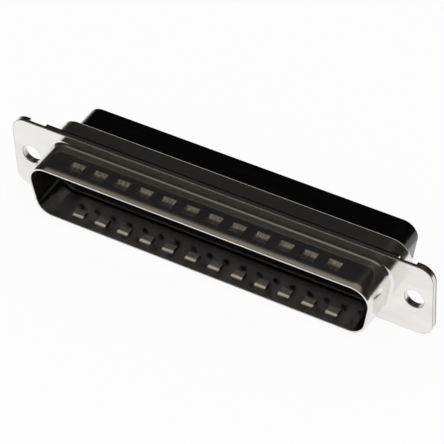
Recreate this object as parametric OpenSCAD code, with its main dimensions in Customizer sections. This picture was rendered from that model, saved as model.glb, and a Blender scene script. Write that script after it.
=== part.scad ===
// Housing of a 37 way D-subminiature plug for crimp contacts, empty of contacts.
// Two drawn steel shells lie flange to flange and trap two moulded insulator halves between them.
// +X runs along the connector, +Z is the side of the longer contact row, and it mates towards -Y.
// The origin is the centre of the front face of the flange. Millimetres.

/* [Flange] */
// Length of both flanges
flange_w = 69.32; // [67:0.1:72]
// Height of both flanges
flange_h = 12.55; // [12.3:0.05:13]
// Radius of the flange corners
flange_r = 2.3; // [1:0.1:3]
// Thickness of the sheet in each flange
sheet = 0.5; // [0.4:0.05:0.6]
// Distance between the two mounting holes
hole_spacing = 63.5; // [62.5:0.1:64]
// Diameter of the mounting holes
hole_d = 3.15; // [2.8:0.05:3.4]
// Rolled edge that the punch leaves round the front of each hole
hole_edge_r = 0.08; // [0.05:0.01:0.1]

/* [Shroud] */
// Inside width of the mouth, across its widest part
mouth_w = 55.42; // [54:0.1:56]
// Inside height of the mouth
mouth_h = 8.36; // [8:0.05:8.6]
// Inside corner radius of the mouth
mouth_r = 2.6; // [2:0.1:3]
// Slant of the D's two ends from upright
slant = 10; // [5:1:12]
// How far the shroud stands out of the flange
shroud_depth = 6.0; // [5.5:0.1:6.5]
// Thickness of the drawn walls
wall = 0.45; // [0.35:0.05:0.5]
// Outside radius where a drawn wall meets its flange
bend_r = 0.5; // [0.3:0.05:0.5]
// Length of the mouth edge that curves inwards
lead_in = 0.9; // [0.5:0.1:1.2]
// How far the outside of the mouth edge curves in
lead_drop = 0.2; // [0.1:0.05:0.25]

/* [Grounding dimples] */
// Dimples in each long wall of the shroud
dimple_count = 12; // [4:1:13]
// Distance from one dimple to the next
dimple_pitch = 3.83; // [3:0.01:3.9]
// Width of each dimple along the connector
dimple_w = 2.1; // [1.5:0.1:2.4]
// Length of each dimple along the mating direction
dimple_l = 1.7; // [1.4:0.1:2]
// Depth that each dimple is pressed inwards
dimple_depth = 0.3; // [0.15:0.05:0.35]
// Centres of the upper dimples, in front of the flange
upper_dimple_y = 3.5; // [2.5:0.1:4]
// Centres of the lower dimples, in front of the flange
lower_dimple_y = 3.88; // [2.5:0.02:4]
// How far each edge of the bump inside lies within its dimple's edge
bump_inset = 0.1; // [0:0.05:0.2]

/* [Hood] */
// Outside width of the rear hood
hood_w = 58.5; // [57:0.1:58.6]
// Outside height of the rear hood
hood_h = 10.72; // [10.5:0.02:10.8]
// Outside corner radius of the hood
hood_r = 3.4; // [2:0.1:3.6]
// How far the hood stands behind the rear flange
hood_depth = 3.6; // [3:0.1:4.5]
// Outside radius of the hood's rear rim
rim_r = 0.4; // [0.3:0.05:0.4]
// Width of the clearance notches in the long edges of the rear flange
notch_w = 2.8; // [1.5:0.1:3]
// Depth of those notches
notch_d = 0.6; // [0.3:0.05:0.7]
// Distance of the notches' centres from the middle of the flange
notch_x = 30.4; // [30:0.1:30.6]

/* [Insulators] */
// Width of the block behind the hood
block_w = 54.8; // [53.5:0.1:55.2]
// Height of the block
block_h = 8.4; // [8:0.1:8.6]
// Corner radius of the block
block_r = 2.4; // [1.5:0.1:3]
// Depth of the block's rear face behind the flange's front face
block_back = 9.75; // [9:0.05:11]
// Rounding of the block's rear edge
block_edge_r = 0.35; // [0.2:0.05:0.5]
// Free space left round each insulator inside its shell
play = 0.08; // [0.04:0.01:0.12]
// Thickness of the front insulator's flange
front_flange_t = 1.8; // [1.5:0.1:2.2]
// Size of the moulding nick in the block's rear edge
nick = 0.45; // [0.2:0.05:0.6]

/* [Contact cavities] */
// Cavities in the upper row, and one fewer in the lower row
row_count = 19; // [5:1:19]
// Distance from one cavity to the next along a row
contact_pitch = 2.76; // [2.7:0.01:2.84]
// Distance between the two rows
row_spacing = 2.84; // [2.8:0.01:2.9]
// Diameter of the front bore that a pin passes through
pin_bore_d = 1.15; // [1.05:0.05:1.3]
// Depth of that bore behind the insulator's face
pin_bore_l = 1.2; // [0.8:0.1:1.4]
// Diameter of the chamber that a contact's tines open in
chamber_d = 2.4; // [2.2:0.05:2.5]
// Diameter of the rear cavity that takes the crimped barrel
cavity_d = 2.05; // [1.9:0.05:2.2]
// Diameter of the funnel at the rear face
funnel_d = 2.55; // [2.3:0.05:2.6]
// Depth of that funnel
funnel_l = 0.5; // [0.3:0.1:0.8]

/* [Hidden] */
$fn = 48;
eps = 0.01;
inner_bend_r = 0.9;
hair = 0.004;
reach = 0.05;
flange_lap = 0.3;
rear_face = sheet + sheet + hood_depth;
lip_face = rear_face - wall;
insulator_split = sheet + front_flange_t;
hood_in_w = hood_w - 2 * wall;
hood_in_h = hood_h - 2 * wall;
hood_in_r = hood_r - wall;
lead_r = (lead_in * lead_in + lead_drop * lead_drop) / (2 * lead_drop);

// Shapes are drawn face on, with y up and z towards the mating side, then stood up by this.
module stand() {
    rotate([90, 0, 0]) children();
}

// Centres of the four corner arcs of a D outline, clockwise from its upper left corner.
function d_centres(w, h, r) =
    let (top_x = w / 2 - r, y = h / 2 - r, bottom_x = top_x - 2 * y * tan(slant))
    [[-top_x, y], [top_x, y], [bottom_x, -y], [-bottom_x, -y]];

// Angle at which each corner arc of a D ends its clockwise turn, and how far it turns.
function d_arcs() = [[90, 90 + slant], [-slant, 90 + slant], [-90, 90 - slant], [180 + slant, 90 - slant]];

// A solid D outline with true corner arcs. The flat between them is set a hair inside the arcs.
module d_shape(w, h, r) {
    centres = d_centres(w, h, r);
    for (c = centres) translate(c) circle(r);
    polygon([for (i = [0:3]) for (a = [d_arcs()[i][0] + d_arcs()[i][1], d_arcs()[i][0]])
        centres[i] + (r - hair) * [cos(a), sin(a)]]);
}

// The D outline moved outwards by a distance, or inwards by a negative one.
module d_grown(w, h, r, by) {
    d_shape(w + 2 * by, h + 2 * by, r + by);
}

// A wall section carried round a D outline. In the section, x runs outwards from the corner centres
// and y runs up the wall. Each corner is a true revolve. Each straight reaches a little way into the
// corners, and its section is thinner by $inset on every face, so that no two faces only graze.
module d_sweep(w, h, r) {
    centres = d_centres(w, h, r);
    for (i = [0:3]) {
        way = centres[(i + 1) % 4] - centres[i];
        translate(centres[i]) rotate(d_arcs()[i][0])
            rotate_extrude(angle = d_arcs()[i][1]) let($inset = 0) children();
        translate(centres[i]) rotate(atan2(way[1], way[0])) rotate([90, 0, 90])
            translate([0, 0, -reach]) linear_extrude(norm(way) + 2 * reach) let($inset = hair) children();
    }
}

// The sheet outline that both flanges are blanked to.
module flange_outline() {
    x = flange_w / 2 - flange_r;
    y = flange_h / 2 - flange_r;
    for (sx = [-1, 1]) for (sy = [-1, 1]) translate([sx * x, sy * y]) circle(flange_r);
    square([flange_w, 2 * y], center = true);
    square([2 * x, flange_h], center = true);
}

// The two mounting holes, drawn as a cutter.
module mounting_holes() {
    for (s = [-1, 1]) translate([s * hole_spacing / 2, 0, -3 * sheet])
        cylinder(d = hole_d, h = 4 * sheet);
}

// The rolled front edge of the two holes, drawn as a cutter.
module hole_edges() {
    for (s = [-1, 1]) translate([s * hole_spacing / 2, 0, 0])
        rotate_extrude() difference() {
            translate([hole_d / 2 - eps, -hole_edge_r]) square([hole_edge_r + eps, hole_edge_r + eps]);
            translate([hole_d / 2 + hole_edge_r, -hole_edge_r]) circle(hole_edge_r);
        }
}

// Quarter of a disc, the one between directions [x, 0] and [0, y].
module quarter(r, x, y) {
    intersection() {
        circle(r);
        translate([x < 0 ? -r : 0, y < 0 ? -r : 0]) square(r);
    }
}

// Section through the foot of a drawn wall: a strip of flange, the bend, and the wall up to y = top.
// The flange lies from y = -sheet to 0, and r is the radius of the wall's inside face.
module foot_section(r, top) {
    out = r + wall;
    thin = hair + $inset;
    difference() {
        union() {
            translate([r + $inset, inner_bend_r - sheet + hair])
                square([wall - 2 * $inset, top - inner_bend_r + sheet - hair]);
            translate([r + inner_bend_r, inner_bend_r - sheet + hair]) quarter(inner_bend_r - $inset, -1, -1);
            translate([r + inner_bend_r, thin - sheet]) square([flange_lap, sheet - 2 * thin]);
            translate([out - wall / 2, -thin]) square([bend_r + wall / 2, bend_r - hair + thin]);
        }
        translate([out + bend_r, bend_r - hair]) circle(bend_r + $inset);
    }
}

// Section through the shroud wall, with the mouth edge that curves inwards.
module shroud_section() {
    out = mouth_r + wall;
    start = shroud_depth - lead_in;
    foot_section(mouth_r, start);
    intersection() {
        translate([mouth_r + $inset, start]) square([wall, lead_in - $inset]);
        translate([out - lead_r, start]) circle(lead_r - $inset);
    }
}

// Copies of the child at every dimple of a row.
module along_row() {
    for (i = [0:dimple_count - 1])
        translate([(i - (dimple_count - 1) / 2) * dimple_pitch, 0, 0]) children();
}

// One row of dimples, as a cutter: a shallow round-bottomed pocket for each, outside a long wall.
module dimple_row(y, side) {
    press_r = (dimple_l * dimple_l / 4 + dimple_depth * dimple_depth) / (2 * dimple_depth);
    along_row() translate([-dimple_w / 2, side * (mouth_h / 2 + wall + press_r - dimple_depth), y])
        rotate([0, 90, 0]) cylinder(r = press_r, h = dimple_w, $fn = 72);
}

// The row of bumps that the dimples raise inside the wall. Each is steep behind and slopes down in front.
module bump_row(y, side) {
    end = dimple_l / 2 - bump_inset;
    section = [[-end, -wall / 2], [-end, dimple_depth / 6], [bump_inset / 2 - end, dimple_depth],
        [end - dimple_l / 4, dimple_depth * 0.8], [end, dimple_depth * 0.1], [end, -wall / 2]];
    along_row() translate([dimple_w / 2 - bump_inset, side * mouth_h / 2, y]) rotate([0, -90, 0])
        linear_extrude(dimple_w - 2 * bump_inset) polygon([for (p = section) [p[0], -side * p[1]]]);
}

// Drawn front shell: flange, D shroud and its two rows of grounding dimples.
module front_shell() {
    color("silver") stand() difference() {
        union() {
            translate([0, 0, -sheet]) linear_extrude(sheet) difference() {
                flange_outline();
                d_grown(mouth_w, mouth_h, mouth_r, inner_bend_r + flange_lap / 2);
            }
            d_sweep(mouth_w, mouth_h, mouth_r) shroud_section();
            bump_row(upper_dimple_y, 1);
            bump_row(lower_dimple_y, -1);
        }
        mounting_holes();
        hole_edges();
        dimple_row(upper_dimple_y, 1);
        dimple_row(lower_dimple_y, -1);
    }
}

// Section through the hood wall, with its rounded rear rim.
module hood_section() {
    start = hood_depth - rim_r;
    rim_x = hood_in_r + wall - rim_r;
    foot_section(hood_in_r, start);
    translate([rim_x, start]) quarter(rim_r - $inset, 1, 1);
    translate([hood_in_r + $inset, start]) square([rim_x - hood_in_r - $inset, rim_r - $inset]);
}

// Drawn rear shell: notched flange and a hood whose rear lip holds the insulators in.
module rear_shell() {
    color("silver") stand() difference() {
        union() {
            translate([0, 0, -2 * sheet]) linear_extrude(sheet) difference() {
                flange_outline();
                d_grown(hood_in_w, hood_in_h, hood_in_r, inner_bend_r + flange_lap / 2);
                for (sx = [-1, 1]) for (sy = [-1, 1])
                    translate([sx * notch_x, sy * (flange_h / 2 - notch_d / 2 + eps)])
                        square([notch_w, notch_d + 2 * eps], center = true);
            }
            translate([0, 0, -2 * sheet]) mirror([0, 0, 1])
                d_sweep(hood_in_w, hood_in_h, hood_in_r) hood_section();
            translate([0, 0, -rear_face + 2 * hair]) linear_extrude(wall - 2 * hair) difference() {
                d_grown(hood_in_w, hood_in_h, hood_in_r, (wall - rim_r) / 2);
                d_grown(block_w, block_h, block_r, play);
            }
        }
        mounting_holes();
    }
}

// Every contact cavity, as one cutter of the child placed on its axis.
module at_cavities() {
    for (row = [0, 1]) for (i = [0:row_count - 1 - row])
        translate([(i - (row_count - 1 - row) / 2) * contact_pitch, (0.5 - row) * row_spacing, 0])
            children();
}

// Front insulator half: a D boss in the shroud, a flange behind it, and the pin bores.
module front_insulator() {
    color([0.06, 0.06, 0.06]) stand() difference() {
        union() {
            translate([0, 0, -sheet]) linear_extrude(sheet)
                d_grown(mouth_w, mouth_h, mouth_r, -play);
            translate([0, 0, -insulator_split]) linear_extrude(front_flange_t)
                d_grown(hood_in_w, hood_in_h, hood_in_r, -play);
        }
        at_cavities() {
            translate([0, 0, -pin_bore_l - eps]) cylinder(d = pin_bore_d, h = pin_bore_l + 1);
            translate([0, 0, -insulator_split - 1]) cylinder(d = chamber_d, h = insulator_split + 1 - pin_bore_l);
        }
    }
}

// Section through the block's skin from its corner centres outwards, with the rounded rear edge.
module block_section() {
    length = block_back - lip_face;
    core = $inset > 0 ? block_r / 2 : 0;
    translate([-core, 0]) square([core + block_r - $inset, length - block_edge_r]);
    translate([-core, 0]) square([core + block_r - block_edge_r, length - $inset]);
    translate([block_r - block_edge_r, length - block_edge_r]) quarter(block_edge_r - $inset, 1, 1);
}

// Rear insulator half: a flange inside the hood and the block behind it, with the wire-side cavities.
module rear_insulator() {
    nick_at = d_centres(block_w, block_h, block_r)[1];
    color([0.06, 0.06, 0.06]) stand() difference() {
        union() {
            translate([0, 0, -lip_face]) linear_extrude(lip_face - insulator_split)
                d_grown(hood_in_w, hood_in_h, hood_in_r, -play);
            translate([0, 0, -lip_face]) mirror([0, 0, 1]) {
                d_sweep(block_w, block_h, block_r) block_section();
                linear_extrude(block_back - lip_face) polygon(d_centres(block_w, block_h, block_r));
            }
        }
        at_cavities() {
            translate([0, 0, -block_back - 1]) cylinder(d = cavity_d, h = block_back);
            translate([0, 0, -block_back]) cylinder(d1 = funnel_d, d2 = cavity_d, h = funnel_l);
        }
        translate([nick_at[0] + block_r, nick_at[1], -block_back]) rotate([0, 45, 0])
            cube([nick, nick, nick], center = true);
    }
}

front_shell();
rear_shell();
front_insulator();
rear_insulator();
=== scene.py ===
# %% [markdown]
# # A 37 way D-subminiature plug housing
# The real object is four pieces. Two thin steel shells are drawn in a press, plated with tin and laid
# flange to flange. Two moulded plastic insulators are trapped between them. The solids come from the
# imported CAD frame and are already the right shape, so this lesson is about finishes, light and camera.

# %% Frame and units
import math

import bpy
from mathutils import Matrix, Vector


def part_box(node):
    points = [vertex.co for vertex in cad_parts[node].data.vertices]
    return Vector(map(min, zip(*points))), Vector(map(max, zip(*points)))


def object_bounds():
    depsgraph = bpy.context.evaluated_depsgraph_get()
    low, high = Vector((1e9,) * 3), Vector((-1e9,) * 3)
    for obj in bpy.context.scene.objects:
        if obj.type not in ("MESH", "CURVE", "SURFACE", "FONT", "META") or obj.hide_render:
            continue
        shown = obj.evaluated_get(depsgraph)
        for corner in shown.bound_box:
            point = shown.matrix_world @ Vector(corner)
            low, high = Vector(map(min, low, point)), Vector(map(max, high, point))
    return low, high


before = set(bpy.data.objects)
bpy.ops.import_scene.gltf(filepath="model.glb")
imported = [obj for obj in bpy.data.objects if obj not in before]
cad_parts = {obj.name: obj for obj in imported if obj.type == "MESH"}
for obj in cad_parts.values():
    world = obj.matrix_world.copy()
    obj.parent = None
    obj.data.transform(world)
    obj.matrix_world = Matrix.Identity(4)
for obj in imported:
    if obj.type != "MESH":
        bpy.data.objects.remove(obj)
cad_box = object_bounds()
MM = 0.001
print("nodes:", sorted(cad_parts))
print("CAD box, mm:", [round(v / MM, 2) for corner in cad_box for v in corner])

# %% [markdown]
# ## Where the camera stands
# The connector is seen from its front right and above, through a long lens, so that parallel edges
# stay nearly parallel. The camera is turned a little about its own axis. A camera's own axes are
# right, up and backwards, so its matrix can be written straight from three directions, with no
# constraint and no empty to aim at.

# %% Camera
CAMERA_AT = Vector((0.1481, -0.2290, 0.2564))
ELEVATION, AZIMUTH, ROLL = (math.radians(a) for a in (43.19, 32.72, 3.06))
LENS_MM, SENSOR_MM = 212.6, 36.0

ahead = Vector((-math.cos(ELEVATION) * math.sin(AZIMUTH),
                math.cos(ELEVATION) * math.cos(AZIMUTH), -math.sin(ELEVATION)))
right = ahead.cross(Vector((0, 0, 1))).normalized()
level_up = right.cross(ahead)
up = level_up * math.cos(ROLL) + right * math.sin(ROLL)
across = ahead.cross(up)

lens = bpy.data.cameras.new("camera")
lens.lens, lens.sensor_width = LENS_MM, SENSOR_MM
lens.clip_start, lens.clip_end = 0.01, 20
camera = bpy.data.objects.new("camera", lens)
camera.matrix_world = Matrix.Translation(CAMERA_AT) @ Matrix((across, up, -ahead)).transposed().to_4x4()
bpy.context.scene.collection.objects.link(camera)
bpy.context.scene.camera = camera
bpy.context.scene.view_settings.view_transform = "Standard"
print("camera distance, mm:", round(CAMERA_AT.length / MM))

# %% [markdown]
# ## A small language for shaders
# Wiring nodes by hand hides the idea of a finish behind a page of links. Here a socket is wrapped in
# a class with Python's operators, so `1 - mask` adds one Math node. A Math node would turn a colour
# grey, so colours go through Mix, and points go through Vector Math. `put` makes any other node.

# %% Sockets with operators
class Wire:
    """One output socket of a node, which Python's operators can take part in."""

    def __init__(self, tree, socket):
        self.tree, self.socket = tree, socket

    def put(self, kind, settings, sockets, out=0):
        """Adds a node: its settings first, then the values or wires of its sockets."""
        node = self.tree.nodes.new("ShaderNode" + kind)
        for name, value in settings.items():
            setattr(node, name, value)
        for key, value in sockets.items():
            if isinstance(value, Wire):
                self.tree.links.new(value.socket, node.inputs[key])
            else:
                node.inputs[key].default_value = value
        return Wire(self.tree, node.outputs[out] if node.outputs else None)

    def maths(self, operation, *values):
        return self.put("Math", {"operation": operation}, dict(enumerate(values)))

    def __add__(self, other):
        return self.maths("ADD", self, other)

    def __sub__(self, other):
        return self.maths("SUBTRACT", self, other)

    def __rsub__(self, other):
        return self.maths("SUBTRACT", other, self)

    def __mul__(self, other):
        return self.maths("MULTIPLY", self, other)

    def __abs__(self):
        return self.maths("ABSOLUTE", self)

    __radd__, __rmul__ = __add__, __mul__

    def most(self, other):
        return self.maths("MAXIMUM", self, other)

    def step(self, start, end):
        """0 where this value is at start, 1 where it is at end, and smooth between them."""
        return self.put("MapRange", {"interpolation_type": "SMOOTHSTEP"},
                        {"Value": self, "From Min": start, "From Max": end})

    def stretch(self, factors):
        """This point with its three coordinates multiplied."""
        return self.put("VectorMath", {"operation": "MULTIPLY"}, {0: self, 1: factors})

    def noise(self, size, detail=2.0, rough=0.5):
        """Cloudy noise whose patches are about `size` metres wide, at this point."""
        return self.put("TexNoise", {"noise_dimensions": "3D"},
                        {"Vector": self, "Scale": 1 / size, "Detail": detail, "Roughness": rough})

    def axis(self, name):
        return self.put("SeparateXYZ", {}, {0: self}, "XYZ".index(name))

    def blend(self, first, second):
        """The colour `first` where this mask is 0, and `second` where it is 1."""
        return self.put("Mix", {"data_type": "RGBA"}, {0: self, 6: first, 7: second}, 2)


def new_material(name):
    """An empty node material, and a wire to start expressions from."""
    material = bpy.data.materials.new(name)
    material.use_nodes = True
    material.node_tree.nodes.clear()
    start = Wire(material.node_tree, None)
    return material, start


def finish_with(start, shader):
    start.put("OutputMaterial", {}, {"Surface": shader})


# %% [markdown]
# ## Masks from the shells' own measures
# A mask is a number that is 1 where a finish goes and 0 elsewhere. Each is worked out from the position
# of a point in the object: how far it is outside the flange's rounded outline, how far it is from a
# hole's middle, or where it lies in its dimple. Masks could be painted by hand as well, but a painted
# one has to be redone when a size changes. `EDGE` is the distance over which most masks fade.

# %% Masks
# The flange and its holes come first, then the dimples, the bumps inside them, and the mouth. The last
# lines place the shells' front face and rear rim, and the bands of finish on their edges.
flange_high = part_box("front_shell")[1]
HALF_W, HALF_H = flange_high.x, flange_high.z
CORNER = 2.3 * MM
HOLE_X, HOLE_R = 31.75 * MM, 1.575 * MM
EDGE = 0.06 * MM
DIMPLE_PITCH, DIMPLE_COUNT = 3.83 * MM, 12
DIMPLE_HALF_W, DIMPLE_HALF_L = 1.08 * MM, 0.86 * MM
UPPER_DIMPLE_Y, LOWER_DIMPLE_Y = -3.5 * MM, -3.88 * MM
BUMP_HALF_W, BUMP_HALF_L, BUMP_NOSE_Y = 0.93 * MM, 0.75 * MM, 0.325 * MM
MOUTH_HALF_H = 4.18 * MM
FRONT_FACE_Y, REAR_RIM_Y = 0.0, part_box("rear_shell")[1].y
BURNISH, LIP_BEND, FRACTURE_Y = 0.16 * MM, 0.34 * MM, 0.72 * MM
print("front shell's back, rear shell's reach, mm:", round(flange_high.y / MM, 2), round(REAR_RIM_Y / MM, 2))
print("flange, mm:", round(2 * HALF_W / MM, 2), "x", round(2 * HALF_H / MM, 2))


def length_2d(a, b):
    square = a * a + b * b
    return square.maths("SQRT", square)


def outline_distance(point):
    """How far a point is outside the flange's rounded outline: below zero inside it."""
    x = (abs(point.axis("X")) - (HALF_W - CORNER)).most(0.0)
    z = (abs(point.axis("Z")) - (HALF_H - CORNER)).most(0.0)
    return length_2d(x, z) - CORNER


def outer_edge(point):
    """1 on the sheared edge round the flange's outline."""
    return outline_distance(point).step(-EDGE, -EDGE / 3)


def sheared_edge(point):
    """1 on the sheared edges of the flange and of its two holes."""
    hole = length_2d(abs(point.axis("X")) - HOLE_X, point.axis("Z"))
    return outer_edge(point).most(hole.step(HOLE_R + EDGE, HOLE_R + EDGE / 3))


def dimple_mask(point, half_w, front, rear):
    """1 in each dimple's rectangle, which reaches `front` and `rear` of its middle."""
    x, y, z = (point.axis(name) for name in "XYZ")
    pitches = x * (1 / DIMPLE_PITCH)
    off_centre = abs(pitches.maths("FRACT", pitches) - 0.5) * DIMPLE_PITCH
    upper = z.step(-DIMPLE_HALF_L, DIMPLE_HALF_L)
    back = y - LOWER_DIMPLE_Y - upper * (UPPER_DIMPLE_Y - LOWER_DIMPLE_Y)
    row_end = DIMPLE_PITCH * DIMPLE_COUNT / 2
    mask = off_centre.step(half_w, half_w - EDGE) * abs(x).step(row_end + EDGE, row_end)
    return mask * back.step(-front, -front + EDGE) * back.step(rear, rear - EDGE)


# %% [markdown]
# ## Tin-plated drawn steel
# The shells are cold-rolled strip, drawn in a press and then plated with tin. Tin is a pale and very
# slightly warm metal. Rolling leaves a fine grain along the strip, which here is along the connector.
# Drawing and handling leave cloudy patches that are a little duller, and short scratches. A punch
# burnishes a sheared edge where it enters, and tears it where it leaves. So the front sheet has a pale
# band by its front face. The rear sheet has a dark band by its back, which is partly its torn edge and
# partly painted shade. The tool that presses the dimples leaves dull streaks in them, and painted shade
# darkens the creases round the bumps inside. The bend of the hood's rear rim is partly matt, more than
# plain tin is, so that it draws a pale line.
# One Principled BSDF does all of it: the masks and noises change its colour, its roughness, its bump
# and how metallic it is. An image texture would need seams on these curved walls, so position in the
# object is used. A Bevel node softens the edges of the flange's front and all that stands before it, and
# the hood's rear rim. The other edges stay sharp.

# %% Tin-plated steel
TIN = (0.865, 0.85, 0.825, 1)
TIN_SHADE = (0.80, 0.78, 0.75, 1)
BARE_EDGE = (0.76, 0.74, 0.70, 1)
WORKED_TIN = (0.84, 0.80, 0.75, 1)
WORKED_SHADE = (0.46, 0.43, 0.39, 1)
# painted shade for the creases round the bumps inside the mouth
CREASE_SHADE = (0.16, 0.15, 0.13, 1)
# partly the torn edge's darker steel, partly painted shade by the hood's foot
FRACTURE_AND_SHADE = (0.10, 0.09, 0.08, 1)
GRAIN_SIZE, CLOUD_SIZE, SPOT_SIZE = 0.12 * MM, 3.5 * MM, 0.6 * MM
SCRATCH_SIZE, STREAK_SIZE = 0.3 * MM, 0.35 * MM
DULL_CLOUD, DULL_GRAIN, DULL_SPOT, DULL_EDGE, DULL_BURNISH = 0.12, 0.06, 0.04, 0.06, 0.6
DULL_DIMPLE, DULL_DIMPLE_STREAK, DULL_BUMP, DULL_BUMP_STREAK = 0.05, 0.20, 0.24, 0.25
MATT_EDGE, MATT_RIM, CREASE_SHADE_SHARE = 0.08, 0.40, 0.9
EDGE_ROUND, TIN_RELIEF, RELIEF_DEPTH = 0.20 * MM, 0.06, 0.02 * MM


def tin_plate(name, dullness, front):
    """A tin-plated steel. `dullness` is its middle roughness, and `front` is for the front shell."""
    material, start = new_material(name)
    point = start.put("TexCoord", {}, {}, "Object")
    grain = point.stretch((0.04, 1, 1)).noise(GRAIN_SIZE, 3.0, 0.6)
    clouds = point.stretch((0.5, 1, 1)).noise(CLOUD_SIZE, 3.0, 0.55)
    spots = point.noise(SPOT_SIZE, 2.0, 0.5).step(0.62, 0.75)
    scratches = point.stretch((0.06, 1.6, 1)).noise(SCRATCH_SIZE, 1.0, 0.4).step(0.66, 0.72)
    colour = clouds.step(0.35, 0.75).blend(TIN, TIN_SHADE)
    rough = dullness + (clouds - 0.5) * DULL_CLOUD + (grain - 0.5) * DULL_GRAIN + spots * DULL_SPOT
    edge = sheared_edge(point)
    colour = edge.blend(colour, BARE_EDGE)
    if front:
        rounding = point.axis("Y").step(FRONT_FACE_Y + EDGE * 4, FRONT_FACE_Y + EDGE * 3)
        burnish = edge * point.axis("Y").step(FRONT_FACE_Y + BURNISH, FRONT_FACE_Y + BURNISH / 2)
    else:
        rounding = point.axis("Y").step(REAR_RIM_Y - 8 * EDGE, REAR_RIM_Y - 6 * EDGE)
        burnish = point.axis("Y").step(REAR_RIM_Y - LIP_BEND, REAR_RIM_Y - LIP_BEND * 0.8)
        burnish = burnish * point.axis("Y").step(REAR_RIM_Y - EDGE / 4, REAR_RIM_Y - EDGE)
        # the rear sheet's back edge: partly its torn fracture, partly painted shade
        torn_and_shaded = outer_edge(point) * point.axis("Y").step(FRACTURE_Y, FRACTURE_Y + EDGE)
        colour = torn_and_shaded.blend(colour, FRACTURE_AND_SHADE)
    rough = rough + edge * DULL_EDGE + burnish * DULL_BURNISH
    if front:
        inside = abs(point.axis("Z")).step(MOUTH_HALF_H + EDGE * 2, MOUTH_HALF_H + EDGE)
        outside = 1 - inside
        worked = dimple_mask(point, DIMPLE_HALF_W, DIMPLE_HALF_L, DIMPLE_HALF_L)
        bump = dimple_mask(point, BUMP_HALF_W, BUMP_HALF_L, BUMP_HALF_L) * inside
        bump_top = dimple_mask(point, BUMP_HALF_W, BUMP_NOSE_Y, BUMP_HALF_L) * inside
        # where painted shade goes: the ring of creases round each bump inside
        crease_shade = (worked - bump).most(0.0) * inside
        streaks = point.stretch((1, 0.2, 1)).noise(STREAK_SIZE, 2.0, 0.6)
        streaky = (streaks.step(0.38, 0.62) * outside).blend(WORKED_TIN, WORKED_SHADE)
        colour = worked.blend(colour, streaky)
        # painted shade darkens the creases round the bumps inside
        colour = (crease_shade * CREASE_SHADE_SHARE).blend(colour, CREASE_SHADE)
        rough = rough + worked * outside * (DULL_DIMPLE + streaks * DULL_DIMPLE_STREAK)
        rough = rough + bump_top * (DULL_BUMP + streaks * DULL_BUMP_STREAK)
    height = grain * 0.5 + scratches * 0.5
    flat = start.put("NewGeometry", {}, {}, "Normal")
    rounded = start.put("Bevel", {"samples": 6}, {"Radius": EDGE_ROUND})
    shaped = start.put("Mix", {"data_type": "VECTOR"}, {0: rounding, 4: flat, 5: rounded}, 1)
    normal = start.put("Bump", {}, {"Strength": TIN_RELIEF, "Distance": RELIEF_DEPTH,
                                    "Height": height, "Normal": shaped})
    finish_with(start, start.put("BsdfPrincipled", {}, {
        "Base Color": colour, "Roughness": rough, "Normal": normal,
        "Metallic": 1 - burnish * (MATT_EDGE if front else MATT_RIM)}))
    return material


# %% [markdown]
# ## Black moulded plastic
# The insulators are a glass-filled polyester moulded in polished steel. The skin is glossy and nearly
# black. Up close it has a faint orange peel and a slight streak along the mould's flow. Both wear the
# same recipe. The front one has a lower index of refraction, so it stays dark down in the shroud.

# %% Black plastic
BLACK = (0.0006, 0.0006, 0.0007, 1)
BLACK_GREY = (0.0014, 0.0014, 0.0016, 1)
FLOW_SIZE, PEEL_SIZE, CORNER_ROUND = 1.2 * MM, 0.35 * MM, 0.05 * MM
PLASTIC_DULLNESS, DULL_FLOW, PLASTIC_RELIEF = 0.17, 0.12, 0.10


def black_plastic(name, gloss):
    """A black moulding. `gloss` is its index of refraction, which sets how much it reflects."""
    material, start = new_material(name)
    point = start.put("TexCoord", {}, {}, "Object")
    flow = point.stretch((0.15, 1, 1)).noise(FLOW_SIZE, 3.0, 0.6)
    peel = point.noise(PEEL_SIZE, 2.0, 0.5)
    rounded = start.put("Bevel", {"samples": 6}, {"Radius": CORNER_ROUND})
    normal = start.put("Bump", {}, {"Strength": PLASTIC_RELIEF, "Distance": RELIEF_DEPTH,
                                    "Height": peel, "Normal": rounded})
    finish_with(start, start.put("BsdfPrincipled", {}, {
        "Base Color": flow.step(0.4, 0.7).blend(BLACK, BLACK_GREY),
        "Roughness": PLASTIC_DULLNESS + (flow - 0.5) * DULL_FLOW, "IOR": gloss, "Normal": normal}))
    return material


# %% [markdown]
# ## Dressing the four pieces
# Each piece gets its finish and a slot name, which says what the surface is made of when the part is
# used elsewhere. The rear shell is a little duller than the front one.

# %% Finishes on the four pieces
def dress(node, material):
    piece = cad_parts[node]
    piece.data.materials.clear()
    piece.data.materials.append(material)
    print(node, "wears", material.name, "on", len(piece.data.polygons), "faces")


dress("front_shell", tin_plate("tin_front_shell", 0.17, True))
dress("rear_shell", tin_plate("tin_rear_shell", 0.19, False))
dress("front_insulator", black_plastic("black_front_insulator", 1.42))
dress("rear_insulator", black_plastic("black_rear_insulator", 1.6))

# %% [markdown]
# ## A white table in a dim room
# Bright metal has almost no colour of its own: it shows the room. The flange faces the table, so it
# looks white when the table does. The top of the shroud faces the back of the room, which is dark,
# and the bends, the dimples and the curved mouth edge tip far enough to catch the pale ceiling.
# The camera sees a white table everywhere. Reflections see it white only in a round about half a metre
# in radius, centred behind the part, and dark beyond. A table that was white to the horizon would show
# in the bend at the shroud's foot as a white line.

# %% Table
PAPER_BACK, PAPER_START, PAPER_END = 0.40, 0.46, 0.51
WALL_BACK = 0.010
PAPER_COLOUR, GLOW_SHARE, TABLE_SIZE = (0.85, 0.85, 0.86, 1), 0.93, 4.0


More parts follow.
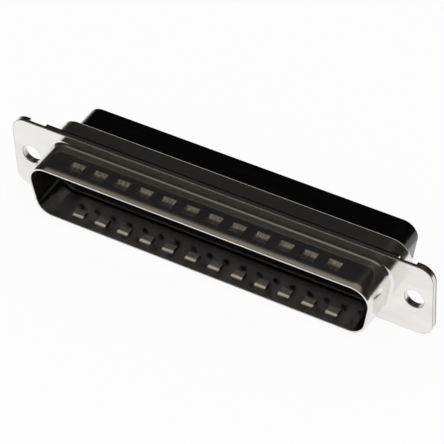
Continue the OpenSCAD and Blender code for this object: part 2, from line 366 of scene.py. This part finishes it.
def white_table():
    material, start = new_material("white_table")
    camera_ray = start.put("LightPath", {}, {}, "Is Camera Ray")
    outputs = camera_ray.socket.node.outputs
    seen = camera_ray.most(Wire(start.tree, outputs["Is Glossy Ray"]))
    seen = seen.most(Wire(start.tree, outputs["Is Transmission Ray"]))
    point = start.put("TexCoord", {}, {}, "Object")
    near = length_2d(point.axis("X"), point.axis("Y") - PAPER_BACK).step(PAPER_END, PAPER_START)
    lit = near.most(camera_ray).blend((WALL_BACK, WALL_BACK, WALL_BACK, 1), (1, 1, 1, 1))
    paper = start.put("BsdfDiffuse", {}, {"Color": PAPER_COLOUR})
    glow = start.put("Emission", {}, {"Color": lit, "Strength": 1.0})
    finish_with(start, start.put("MixShader", {}, {0: seen * GLOW_SHARE, 1: paper, 2: glow}))
    return material


bpy.ops.mesh.primitive_plane_add(size=TABLE_SIZE, location=(0, 0, cad_box[0].z - 0.02 * MM))
table = bpy.context.object
table.name = "table"
table.data.materials.append(white_table())
print("table, m:", TABLE_SIZE, "a side, glowing share:", GLOW_SHARE)

# %% [markdown]
# ## The room
# The world's colour depends on the direction of a ray. Steps on its height, and on whether it goes
# towards the front or the back, stand for two walls and a ceiling, so there is nothing to build. Only
# reflections see this room. The camera sees white, and matt surfaces get a plain grey light.

# %% Room
WALL_FRONT, WALL_FOOT, CEILING, PLAIN = 0.036, 0.045, 0.22, 0.55
CEILING_FROM, CEILING_TO = 0.76, 0.93
FOOT_FROM, FOOT_TO = 0.45, 0.1
FRONT_FROM, FRONT_TO, FRONT_LOW, FRONT_HIGH = -0.3, 0.5, 0.15, 0.7
ROOM_TINT = (1.0, 0.91, 0.79, 1)


def room():
    world = bpy.data.worlds.new("room")
    bpy.context.scene.world = world
    world.use_nodes = True
    world.node_tree.nodes.clear()
    start = Wire(world.node_tree, None)
    ray = start.put("TexCoord", {}, {}, "Generated")
    front = (0.0 - ray.axis("Y")).step(FRONT_FROM, FRONT_TO)
    height = ray.axis("Z")
    foot = height.step(FOOT_FROM, FOOT_TO) * WALL_FOOT * (1 - front)
    wall = WALL_BACK + front * height.step(FRONT_LOW, FRONT_HIGH) * (WALL_FRONT - WALL_BACK) + foot
    seen = (wall + height.step(CEILING_FROM, CEILING_TO) * CEILING).blend((0, 0, 0, 1), ROOM_TINT)
    path = start.put("LightPath", {}, {}, "Is Glossy Ray")
    light = path.blend((PLAIN, PLAIN, PLAIN, 1), seen)
    light = Wire(start.tree, path.socket.node.outputs["Is Camera Ray"]).blend(light, (1, 1, 1, 1))
    back = start.put("Background", {}, {"Color": light, "Strength": 1.0})
    start.put("OutputWorld", {}, {"Surface": back})


room()
print("room: walls", WALL_BACK, "and", WALL_FRONT, "under a ceiling of", CEILING)

# %% [markdown]
# ## One soft box
# A large soft box overhead gives the plain light that matt colours need, and a soft shadow. The metal
# already has its ceiling, so this lamp is kept out of reflections.

# %% Lamp
def soft_box(name, direction, distance, size, power):
    lamp = bpy.data.lights.new(name, "AREA")
    lamp.shape, lamp.size, lamp.size_y, lamp.energy = "RECTANGLE", *size, power
    held = bpy.data.objects.new(name, lamp)
    direction = Vector(direction).normalized()
    held.location = direction * distance
    held.rotation_euler = direction.to_track_quat("Z", "Y").to_euler()
    held.visible_glossy = False
    bpy.context.scene.collection.objects.link(held)
    print(name, "stands", round(distance, 2), "m away")


soft_box("overhead_box", direction=(0.2, -0.3, 0.9), distance=0.9, size=(0.7, 0.5), power=3.0)
